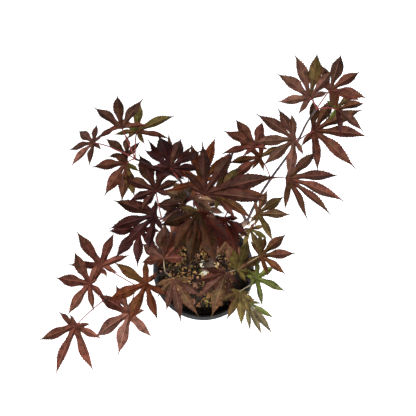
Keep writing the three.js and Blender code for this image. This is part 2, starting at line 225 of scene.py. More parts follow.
def pattern_node(nodes, kind, **sockets):
    """Adds one shader node and sets its sockets, which are named with _ for a space."""
    node = nodes.new("ShaderNode" + kind)
    for socket, value in sockets.items():
        node.inputs[socket.replace("_", " ")].default_value = value
    return node


DUST_STOPS = ((0.35, (0.010, 0.0105, 0.0125)), (0.75, (0.042, 0.043, 0.046)))
pot_plastic, nodes, links, shader = plain_finish("pot_plastic", (0.02, 0.021, 0.024), 0.42, 0.38)
place = pattern_node(nodes, "TexCoord")
scuffs = pattern_node(nodes, "TexNoise", Scale=60, Detail=6)
dust = pattern_node(nodes, "ValToRGB")
for stop, (position, colour) in zip(dust.color_ramp.elements, DUST_STOPS):
    stop.position = position
    stop.color = (*colour, 1)
rubbed = pattern_node(nodes, "MapRange", To_Min=0.34, To_Max=0.6)
grain = pattern_node(nodes, "TexNoise", Scale=900)
pot_bump = pattern_node(nodes, "Bump", Strength=0.12, Distance=0.3 * MM)
links.new(place.outputs["Object"], scuffs.inputs["Vector"])
links.new(place.outputs["Object"], grain.inputs["Vector"])
links.new(scuffs.outputs["Fac"], dust.inputs["Fac"])
links.new(scuffs.outputs["Fac"], rubbed.inputs["Value"])
links.new(dust.outputs["Color"], shader.inputs["Base Color"])
links.new(rubbed.outputs["Result"], shader.inputs["Roughness"])
links.new(grain.outputs["Fac"], pot_bump.inputs["Height"])
links.new(pot_bump.outputs["Normal"], shader.inputs["Normal"])

finish_piece(pot, "nursery_pot", pot_plastic)
bpy.ops.object.shade_smooth_by_angle(angle=math.radians(35))
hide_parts("pot")


# ---- Soil --------------------------------------------------------
# Damp black compost fills the pot. It is dressed with chips of composted bark, has moss growing
# between them and a few pale chips on top.
SOIL_LEVEL = 138 * MM
SOIL_SWELL = 8 * MM
SOIL_SLOPE = 4 * MM
SOIL_HIGH_SIDE = math.radians(140)
SOIL_FLAT_RADIUS = 24 * MM
SOIL_HOLLOW = 9 * MM
HOLLOW_RIGHT = (60, -17)
HOLLOW_RIGHT_SIZE = (17, 22)
HOLLOW_FRONT_FROM = 57
HOLLOW_FRONT_RUN = 12
CRUMB_HEIGHTS = ((1.6 * MM, 130, 0), (0.8 * MM, 420, 3))
SOIL_ABOVE_FLOOR = 0.4 * MM
SOIL_CLEARANCE = 0.5 * MM
SOIL_SIDES = 48
SOIL_CUTS = 22
SOIL_SEED = 11


def smooth(share):
    """Eases from 0 to 1."""
    share = max(0, min(1, share))
    return share * share * (3 - 2 * share)


def hollow(x, y):
    """How deep the compost has sunk, from 0 to 1: a hollow by the right-hand edge and one at the front."""
    aside = (x / MM - HOLLOW_RIGHT[0]) / HOLLOW_RIGHT_SIZE[0]
    ahead = (y / MM - HOLLOW_RIGHT[1]) / HOLLOW_RIGHT_SIZE[1]
    right = math.exp(-(aside * aside + ahead * ahead))
    front = smooth((-y / MM - HOLLOW_FRONT_FROM) / HOLLOW_FRONT_RUN)
    return min(1, right + 0.8 * front)


def soil_height(x, y):
    """The height of the compost at a place in the pot."""
    radius, angle = math.hypot(x, y), math.atan2(y, x)
    edge = max(0, (radius - SOIL_FLAT_RADIUS) / (pot_inner_radius(SOIL_LEVEL) - SOIL_FLAT_RADIUS))
    tilt = SOIL_SLOPE * math.cos(angle - SOIL_HIGH_SIDE)
    crumbs = sum(size * noise.noise(Vector((x, y, layer)) * fineness)
                 for size, fineness, layer in CRUMB_HEIGHTS)
    sunk = SOIL_HOLLOW * hollow(x, y)
    return SOIL_LEVEL + edge * (SOIL_SWELL * (1 - edge) + tilt) + min(1, edge * 3) * crumbs - sunk


begin_piece()
soil_bottom = FLOOR_THICKNESS + SOIL_ABOVE_FLOOR
soil_top_radius = pot_inner_radius(SOIL_LEVEL) - SOIL_CLEARANCE
soil_bottom_radius = pot_inner_radius(soil_bottom) - SOIL_CLEARANCE
bpy.ops.mesh.primitive_circle_add(
    vertices=SOIL_SIDES, radius=soil_bottom_radius, fill_type="NGON", location=(0, 0, soil_bottom))
soil = bpy.context.object
bpy.ops.object.mode_set(mode="EDIT")
bpy.ops.mesh.extrude_region_move(TRANSFORM_OT_translate={"value": (0, 0, SOIL_LEVEL - soil_bottom)})
widening = soil_top_radius / soil_bottom_radius
bpy.ops.transform.resize(value=(widening, widening, 1), center_override=(0, 0, SOIL_LEVEL))
bpy.ops.mesh.poke()
bpy.ops.mesh.subdivide(number_cuts=SOIL_CUTS)
bpy.ops.mesh.select_all(action="SELECT")
bpy.ops.mesh.normals_make_consistent(inside=False)
finish_piece(soil, "compost")
for corner in soil.data.vertices:
    if corner.co.z > SOIL_LEVEL - 1 * MM:
        corner.co.z = soil_height(corner.co.x, corner.co.y)


def pattern_group(name, colours, results):
    """A node group with colour sockets in, and Color and the other results out, with its two ends."""
    group = bpy.data.node_groups.new(name, "ShaderNodeTree")
    for colour in colours:
        group.interface.new_socket(colour, in_out="INPUT", socket_type="NodeSocketColor")
    for result in results:
        kind = "NodeSocketColor" if result == "Color" else "NodeSocketFloat"
        group.interface.new_socket(result, in_out="OUTPUT", socket_type=kind)
    return group, group.nodes.new("NodeGroupInput"), group.nodes.new("NodeGroupOutput")


def blend_colours(group, share, first, second):
    """Blends two colours inside a group by a share from 0 to 1."""
    blend = group.nodes.new("ShaderNodeMix")
    blend.data_type = "RGBA"
    group.links.new(share, blend.inputs["Factor"])
    group.links.new(first, blend.inputs["A"])
    group.links.new(second, blend.inputs["B"])
    return blend.outputs["Result"]


def crumb_pattern():
    """A node group for compost, chips and bark: fine light and dark grain, and a height for its relief."""
    group, ins, outs = pattern_group("crumb_pattern", ("Dark", "Light"), ("Color", "Relief"))
    scale = group.interface.new_socket("Scale", in_out="INPUT", socket_type="NodeSocketFloat")
    scale.default_value = 200
    where = pattern_node(group.nodes, "TexCoord")
    fleck = pattern_node(group.nodes, "TexNoise", Detail=8, Roughness=0.65)
    sharpen = pattern_node(group.nodes, "MapRange", From_Min=0.34, From_Max=0.66)
    group.links.new(where.outputs["Object"], fleck.inputs["Vector"])
    group.links.new(ins.outputs["Scale"], fleck.inputs["Scale"])
    group.links.new(fleck.outputs["Fac"], sharpen.inputs["Value"])
    grain = blend_colours(group, sharpen.outputs["Result"], ins.outputs["Dark"], ins.outputs["Light"])
    group.links.new(grain, outs.inputs["Color"])
    group.links.new(fleck.outputs["Fac"], outs.inputs["Relief"])
    return group


def patterned_finish(name, group, colour, roughness, specular, relief, depth, **sockets):
    """A material whose colour and relief, and gloss if it has one, come from a group's pattern."""
    finish, nodes, links, shader = plain_finish(name, colour, roughness, specular)
    pattern = nodes.new("ShaderNodeGroup")
    pattern.node_tree = group
    for socket, value in sockets.items():
        pattern.inputs[socket].default_value = value
    bump = pattern_node(nodes, "Bump", Strength=relief, Distance=depth)
    links.new(pattern.outputs["Color"], shader.inputs["Base Color"])
    links.new(pattern.outputs["Relief"], bump.inputs["Height"])
    links.new(bump.outputs["Normal"], shader.inputs["Normal"])
    if "Gloss" in pattern.outputs:
        links.new(pattern.outputs["Gloss"], shader.inputs["Roughness"])
    return finish


CRUMBS = crumb_pattern()


def crumb_finish(name, dark, light, scale, roughness=0.85, relief=0.5, depth=0.4 * MM, specular=0.25):
    """A material of fine light and dark grain with relief: compost, chips, moss or bark."""
    return patterned_finish(name, CRUMBS, light, roughness, specular, relief, depth,
                            Scale=scale, Dark=(*dark, 1), Light=(*light, 1))


soil.data.materials.append(crumb_finish("damp_compost", (0.003, 0.002, 0.0015), (0.028, 0.018, 0.010), 260))
bpy.ops.object.shade_smooth()
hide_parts("soil")

CHIP_BEVEL = 0.25
CHIP_LUMPS = 1.7
DRESSED_RADIUS = 73 * MM
DRESSED_EDGE = 1.02
DRESSED_FADE = 2.4
MOSS_PATCHES = 45
PALE_CHIP_LIFT = 2.2 * MM


def model_chip(sides, stretch, cuts, ruggedness, seed):
    """One chip, crumb or tuft 2 units across, as its corners and faces: a rugged rounded block."""
    begin_piece()
    bpy.ops.mesh.primitive_cylinder_add(vertices=sides, radius=1, depth=stretch[2] * 2)
    chip = bpy.context.object
    bpy.ops.object.mode_set(mode="EDIT")
    bpy.ops.mesh.select_all(action="SELECT")
    bpy.ops.transform.resize(value=(stretch[0], stretch[1], 1))
    bpy.ops.mesh.bevel(offset=CHIP_BEVEL * min(stretch), segments=1)
    if cuts:
        bpy.ops.mesh.subdivide(number_cuts=cuts)
    bpy.ops.mesh.quads_convert_to_tris()
    begin_piece()
    for corner in chip.data.vertices:
        corner.co += noise.noise_vector(corner.co * CHIP_LUMPS + Vector((seed, seed, seed))) * ruggedness
    corners = [corner.co.copy() for corner in chip.data.vertices]
    shape = (corners, [tuple(face.vertices) for face in chip.data.polygons])
    bpy.data.objects.remove(chip)
    return shape


CHIP_SHAPES = [
    model_chip(7, (1.0, 0.62, 0.22), 0, 0.22, 1.0),
    model_chip(6, (1.0, 0.45, 0.30), 0, 0.26, 2.0),
    model_chip(8, (1.0, 0.80, 0.26), 0, 0.30, 3.0),
    model_chip(5, (1.0, 0.28, 0.20), 0, 0.18, 4.0),
]
MOSS_SHAPE = [model_chip(8, (1.0, 0.85, 0.45), 1, 0.42, 5.0)]


def mesh_piece(name, corners, faces):
    """A new piece with this mesh."""
    mesh = bpy.data.meshes.new(name)
    mesh.from_pydata(corners, [], faces)
    piece = bpy.data.objects.new(name, mesh)
    bpy.context.collection.objects.link(piece)
    return piece


def strew(name, finish, shapes, count, sizes, where, seed, sink, lie=0.5):
    """Copies of a few modelled shapes lying on the compost where where(x, y) allows, as one piece."""
    rng = random.Random(seed)
    corners, faces = [], []
    laid = 0
    while laid < count:
        radius = DRESSED_RADIUS * math.sqrt(rng.random())
        angle = rng.random() * math.tau
        x, y = radius * math.cos(angle), radius * math.sin(angle)
        if rng.random() > where(x, y):
            continue
        laid += 1
        shape_corners, shape_faces = rng.choice(shapes)
        size = rng.uniform(*sizes) * MM / 2
        turn = Euler((rng.gauss(0, lie), rng.gauss(0, lie), rng.random() * math.tau)).to_matrix()
        place = Vector((x, y, soil_height(x, y) + size * sink))
        start = len(corners)
        corners += [place + turn @ (corner * size) for corner in shape_corners]
        faces += [tuple(start + index for index in face) for face in shape_faces]
    piece = mesh_piece(name, corners, faces)
    finish_piece(piece, name, finish)


def dressed(x, y):
    """How thickly chips lie: thin along the wall and in the hollows."""
    radius = math.hypot(x, y) / DRESSED_RADIUS
    return max(0.03, min(1, DRESSED_FADE * (DRESSED_EDGE - radius)) - 0.85 * hollow(x, y))


def pale_chips_thinned_at_front(x, y):
    """How thickly pale chips lie: thinner along the front. This is partly because finer orange-brown chips
    lie there, and partly painted shade that darkens the soil where the key light falls strongest.
    """
    return dressed(x, y) * (0.4 + 0.6 * smooth((y / MM + 45) / 25))


def mossy(x, y):
    """How thickly moss grows: most in patches left of the middle."""
    patch = noise.noise(Vector((x, y, 7)) * MOSS_PATCHES)
    return dressed(x, y) * max(0.05, 0.35 + 1.6 * patch)


strew("bark_chips_dark", crumb_finish("bark_chip_dark", (0.004, 0.002, 0.001), (0.022, 0.012, 0.006), 420),
      CHIP_SHAPES, 420, (3, 8), dressed, SOIL_SEED, sink=0.9)
strew("bark_chips_brown", crumb_finish("bark_chip_brown", (0.05, 0.019, 0.008), (0.34, 0.16, 0.066), 180),
      CHIP_SHAPES, 400, (3, 8), dressed, SOIL_SEED + 1, sink=0.5)
strew("bark_chips_tan", crumb_finish("bark_chip_tan", (0.17, 0.08, 0.025), (0.72, 0.43, 0.16), 170),
      CHIP_SHAPES, 360, (2.2, 6.5), pale_chips_thinned_at_front, SOIL_SEED + 2, sink=0.8)
strew("bark_chips_pink", crumb_finish("bark_chip_pink", (0.12, 0.05, 0.035), (0.4, 0.2, 0.14), 420),
      CHIP_SHAPES, 70, (3, 7), dressed, SOIL_SEED + 3, sink=0.9)
strew("moss_tufts", crumb_finish("moss", (0.06, 0.055, 0.008), (0.3, 0.26, 0.06), 900, relief=0.9),
      MOSS_SHAPE, 460, (1.4, 3.8), mossy, SOIL_SEED + 4, sink=0.8)


def pale_chip(tint, place, size, heading, dark, light):
    """One pale chip that lies on top of the dressing at a chosen place."""
    name = "pale_chip_" + tint
    x, y = place[0] * MM, place[1] * MM
    turn = Euler((0.1, -0.15, math.radians(heading))).to_matrix()
    corners, faces = CHIP_SHAPES[2]
    resting = Vector((x, y, soil_height(x, y) + PALE_CHIP_LIFT))
    piece = mesh_piece(name, [resting + turn @ (corner * size * MM / 2) for corner in corners], faces)
    apply_modifier(piece, "SUBSURF", levels=1, render_levels=1)
    finish_piece(piece, name, crumb_finish(name + "_face", dark, light, 500, 0.7))


pale_chip("cream", (-1, 10), 13, 80, (0.62, 0.55, 0.33), (0.95, 0.92, 0.74))
pale_chip("white", (1, -6), 12, 20, (0.36, 0.36, 0.26), (0.66, 0.67, 0.52))
pale_chip("orange", (21, 9), 11, 15, (0.6, 0.38, 0.16), (0.9, 0.7, 0.4))
pale_chip("lime", (-4, 50), 9, 110, (0.4, 0.42, 0.12), (0.66, 0.7, 0.28))
pale_chip("lime_small", (26, 26), 6, 110, (0.45, 0.42, 0.14), (0.74, 0.7, 0.32))
pale_chip("tan", (68, 3), 10, 15, (0.3, 0.2, 0.09), (0.6, 0.43, 0.22))


# ---- Trunk -------------------------------------------------------
# A rootstock stem of grey-brown young bark that leans to the right and swells at its foot. The maple
# is grafted on at its top, beside the rootstock's own sawn-off stub with its pale face.
NODES = {
    "graft": (60, 45, 341),
    "graft_bud": (70.5, 43, 341),
    "leader_low": (37, 58, 373),
    "leader_fork": (-14, 62, 425),
    "leader_top": (-27, 75, 456),
    "left_tip": (-80, 104, 441),
    "middle_tip": (-50, 37, 405),
    "right_low": (88, 92, 392),
    "right_middle": (117, 128, 437),
    "right_tip": (134, 155, 472),
    "trunk_low_left": (13, 12, 178),
    "low_left": (-60, -10, 212),
    "low_left_middle": (-98, -35, 252),
    "low_left_tip": (-140, -58, 290),
    "trunk_low_right": (15, 14, 186),
    "low_right": (55, -5, 203),
    "low_right_tip": (76, -29, 214),
}
TRUNK_ROUTE = [
    (8, 5, 138.5), (8.8, 6, 146.5), (11, 9, 162), (18, 17, 200), (31, 28, 260), (50, 40.5, 325),
    (60, 45, 341),
]
TRUNK_FOOT_RADIUS = 6.2
TRUNK_TOP_RADIUS = 3.6
ROOT_FLARE = 3.6
ROOT_FLARE_HEIGHT = 11
ROOT_FLARE_REACH = 60
ROOT_WAVES = ((3, 0.35), (7, 0.15))
GRAFT_RADIUS = 4.6
GRAFT_NECK = 0.85
STUB_ROUTE = [(60, 45, 341), (61.5, 42.5, 344), (63, 40, 347)]
STUB_RADIUS = 1.9
STUB_FOOT_RADIUS = 2.5


def limb(name, route, radii, smoothness=12, roundness=4):
    """A tapering limb with closed ends, run smoothly through the places of its route in millimetres."""
    curve = bpy.data.curves.new(name, "CURVE")
    curve.dimensions = "3D"
    curve.resolution_u = smoothness
    curve.bevel_depth = MM
    curve.bevel_resolution = roundness
    curve.use_fill_caps = True
    spline = curve.splines.new("BEZIER")
    spline.bezier_points.add(len(route) - 1)
    for point, place, radius in zip(spline.bezier_points, route, radii):
        point.co = Vector(place) * MM
        point.radius = radius
        point.handle_left_type = "AUTO"
        point.handle_right_type = "AUTO"
    piece = bpy.data.objects.new(name, curve)
    bpy.context.collection.objects.link(piece)
    choose(piece)
    bpy.ops.object.convert(target="MESH")
    return bpy.context.object


def roughen(piece, along, across, depth):
    """Moves a limb's skin in and out as bark does: long along the limb, short across it."""
    for corner in piece.data.vertices:
        grain = Vector((corner.co.x * across, corner.co.y * across, corner.co.z * along))
        corner.co += corner.normal * depth * noise.fractal(grain, 0.8, 2.1, 3)


route_share = [index / (len(TRUNK_ROUTE) - 1) for index in range(len(TRUNK_ROUTE))]
trunk_radii = [TRUNK_FOOT_RADIUS + (TRUNK_TOP_RADIUS - TRUNK_FOOT_RADIUS) * share for share in route_share]
trunk_radii[-1] = GRAFT_RADIUS * GRAFT_NECK
trunk = limb("trunk_bark", TRUNK_ROUTE, trunk_radii, smoothness=36, roundness=9)
foot = Vector(TRUNK_ROUTE[0]) * MM
for corner in trunk.data.vertices:
    out = corner.co - foot
    swell = ROOT_FLARE * MM * math.exp(-max(0, out.z) / (ROOT_FLARE_HEIGHT * MM))
    round_foot = math.atan2(out.y, out.x)
    roots = 1 + sum(depth * math.cos(count * round_foot) for count, depth in ROOT_WAVES)
    outward = Vector((out.x, out.y, 0))
    if outward.length > 0.5 * MM and out.z < ROOT_FLARE_REACH * MM:
        corner.co += outward.normalized() * swell * roots
    corner.co.z = max(corner.co.z, foot.z - 0.5 * MM)
roughen(trunk, along=90, across=420, depth=0.55 * MM)
begin_piece()
bpy.ops.mesh.primitive_uv_sphere_add(
    segments=32, ring_count=20, radius=GRAFT_RADIUS * MM, location=Vector(NODES["graft"]) * MM)
graft_union = bpy.context.object
finish_piece(graft_union, "graft_union_part")
roughen(graft_union, along=200, across=260, depth=0.9 * MM)
stub = limb("stub_part", STUB_ROUTE, [STUB_FOOT_RADIUS, STUB_RADIUS, STUB_RADIUS], roundness=6)
roughen(stub, along=300, across=300, depth=0.3 * MM)

bark = crumb_finish("grey_brown_bark", (0.07, 0.044, 0.034), (0.34, 0.23, 0.175), 160, 0.85, 0.8, 0.6 * MM)
sawn_wood = crumb_finish("sawn_wood", (0.2, 0.15, 0.1), (0.5, 0.42, 0.31), 500, 0.7, 0.3)
stub_direction = (Vector(STUB_ROUTE[-1]) - Vector(STUB_ROUTE[-2])).normalized()
choose(trunk, graft_union, stub)
bpy.ops.object.join()
finish_piece(trunk, "trunk_bark", bark, sawn_wood)
for face in trunk.data.polygons:
    at_stub_end = (face.center - Vector(STUB_ROUTE[-1]) * MM).length < 1.2 * STUB_RADIUS * MM
    face.material_index = 1 if at_stub_end and face.normal.dot(stub_direction) > 0.8 else 0
bpy.ops.object.shade_smooth_by_angle(angle=math.radians(50))
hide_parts("trunk")


# ---- Shoots ------------------------------------------------------
# Two or three years' growth from the graft: thin dark shoots that arch from node to node, with a ring
# of old bud scales at each node, and two shoots low on the stem.
SHOOT_RUNS = {
    "leader_shoot": (
        [NODES["graft"], (52, 55, 356), NODES["leader_low"], (12, 60, 400), NODES["leader_fork"],
         (-22, 69, 441), NODES["leader_top"], (-50, 88, 450), NODES["left_tip"]],
        (2.1, 1.0), ("leader_lower", "leader_middle", "leader_upper", "left_bough")),
    "middle_shoot": (
        [NODES["leader_fork"], (-30, 49, 416), NODES["middle_tip"]],
        (1.1, 0.8), ("middle_bough",)),
    "right_shoot": (
        [NODES["graft"], (72, 69, 363), NODES["right_low"], (103, 110, 415), NODES["right_middle"],
         (126, 145, 458), NODES["right_tip"]],
        (1.9, 1.15), ("right_bough_lower", "right_bough_middle", "right_bough_upper")),
    "low_left_shoot": (
        [NODES["trunk_low_left"], (-21, 4, 190), NODES["low_left"], (-78, -24, 232),
         NODES["low_left_middle"], (-120, -47, 271), NODES["low_left_tip"]],
        (1.4, 0.7), ("low_left_bough", "low_left_bough_middle", "low_left_bough_outer")),
    "low_right_shoot": (
        [NODES["trunk_low_right"], (36, 2, 192), NODES["low_right"], (66, -19, 208), NODES["low_right_tip"]],
        (1.3, 0.8), ("low_right_bough", "low_right_bough_outer")),
}
young_bark = crumb_finish(
    "dark_young_bark", (0.018, 0.010, 0.012), (0.085, 0.052, 0.052), 300, 0.5, 0.4, 0.2 * MM, 0.3)
new_wood = crumb_finish(
    "purple_new_wood", (0.010, 0.003, 0.0035), (0.036, 0.012, 0.012), 300, 0.5, 0.4, 0.2 * MM, 0.2)
NEW_WOOD_LEFT_OF = -18 * MM
NEW_WOOD_ABOVE = 400 * MM
BUD_RING_WIDTH = 4 * MM
BUD_RING_HEIGHT = 0.5 * MM

for name, (route, (start, end), solids) in SHOOT_RUNS.items():
    radii = [start + (end - start) * index / (len(route) - 1) for index in range(len(route))]
    shoot = limb(name, route, radii, smoothness=20, roundness=4)
    for corner in shoot.data.vertices:
        for node in route[::2]:
            near = (corner.co - Vector(node) * MM).length / BUD_RING_WIDTH
            corner.co += corner.normal * BUD_RING_HEIGHT * math.exp(-near * near)
    roughen(shoot, along=300, across=300, depth=0.18 * MM)
    finish_piece(shoot, name, young_bark, new_wood)
    for face in shoot.data.polygons:
        new = name.startswith("low") or (
            face.center.x < NEW_WOOD_LEFT_OF and face.center.z > NEW_WOOD_ABOVE)
        face.material_index = 1 if new else 0
    bpy.ops.object.shade_smooth_by_angle(angle=math.radians(50))
    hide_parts(*solids)


# ---- Leaves ------------------------------------------------------
# Seven-lobed blades, thin and soft, each on a wiry stalk from a node. Their lobes taper to long tails,
# have toothed edges and fold up a little from their midribs, and the blade droops towards its tips.
LOBE_ANGLE = (0, 40, 82, 128)
LOBE_REACH = (1, 0.93, 0.72, 0.36)
LOBE_HALF_WIDTH = (0.12, 0.12, 0.122, 0.125)
LOBE_TAIL = 1.09
WIDEST_AT = 0.52
SINUS = 0.17
STALK_SINUS = 0.05
BLADE_DROOP = 0.16
BLADE_THICKNESS = 0.35 * MM
FOLD = 0.52
TOOTH = 1.1 * MM
TOOTH_LEAN = 0.8
EDGE_OPENING = 3.2
SINUS_STATIONS = 4
LOBE_STATIONS = 36
HALF_COLUMNS = 3
LEAF_SEED = 2024
# What one lobe may differ by from another: its width, bend, twist, curl and brightness, and the painted
# shade that makes one half of its fold lighter and the other darker.
WIDTH_PLAY = (0.93, 1.07)
BEND_PLAY = 0.03
TWIST_PLAY = 0.2
CURL_PLAY = 0.1
SHADE_PLAY = (0.68, 1.42)
PAINTED_FOLD_SHADE_PLAY = 0.34
RIPPLE = 0.012
RIPPLE_PACE = 9


def leaf(hub, heading, length, tone, pitch=-12, roll=0, spread=(1, 1), reach=(1, 1), width=1, lobes=None,
         strays=None):
    """A leaf's row: hub, heading and length of its middle lobe, tone, and what sets its sides apart.

    lobes gives single lobes a tone of their own. strays gives how far single lobes stray from an even
    spread: the degrees they turn by, or those degrees and their reach.
    """
    strays = {step: stray if isinstance(stray, tuple) else (stray, 1)
              for step, stray in (strays or {}).items()}
    return dict(hub=hub, heading=heading, length=length, tone=tone, pitch=pitch, roll=roll, spread=spread,
                reach=reach, width=width, lobes=lobes or {}, strays=strays)


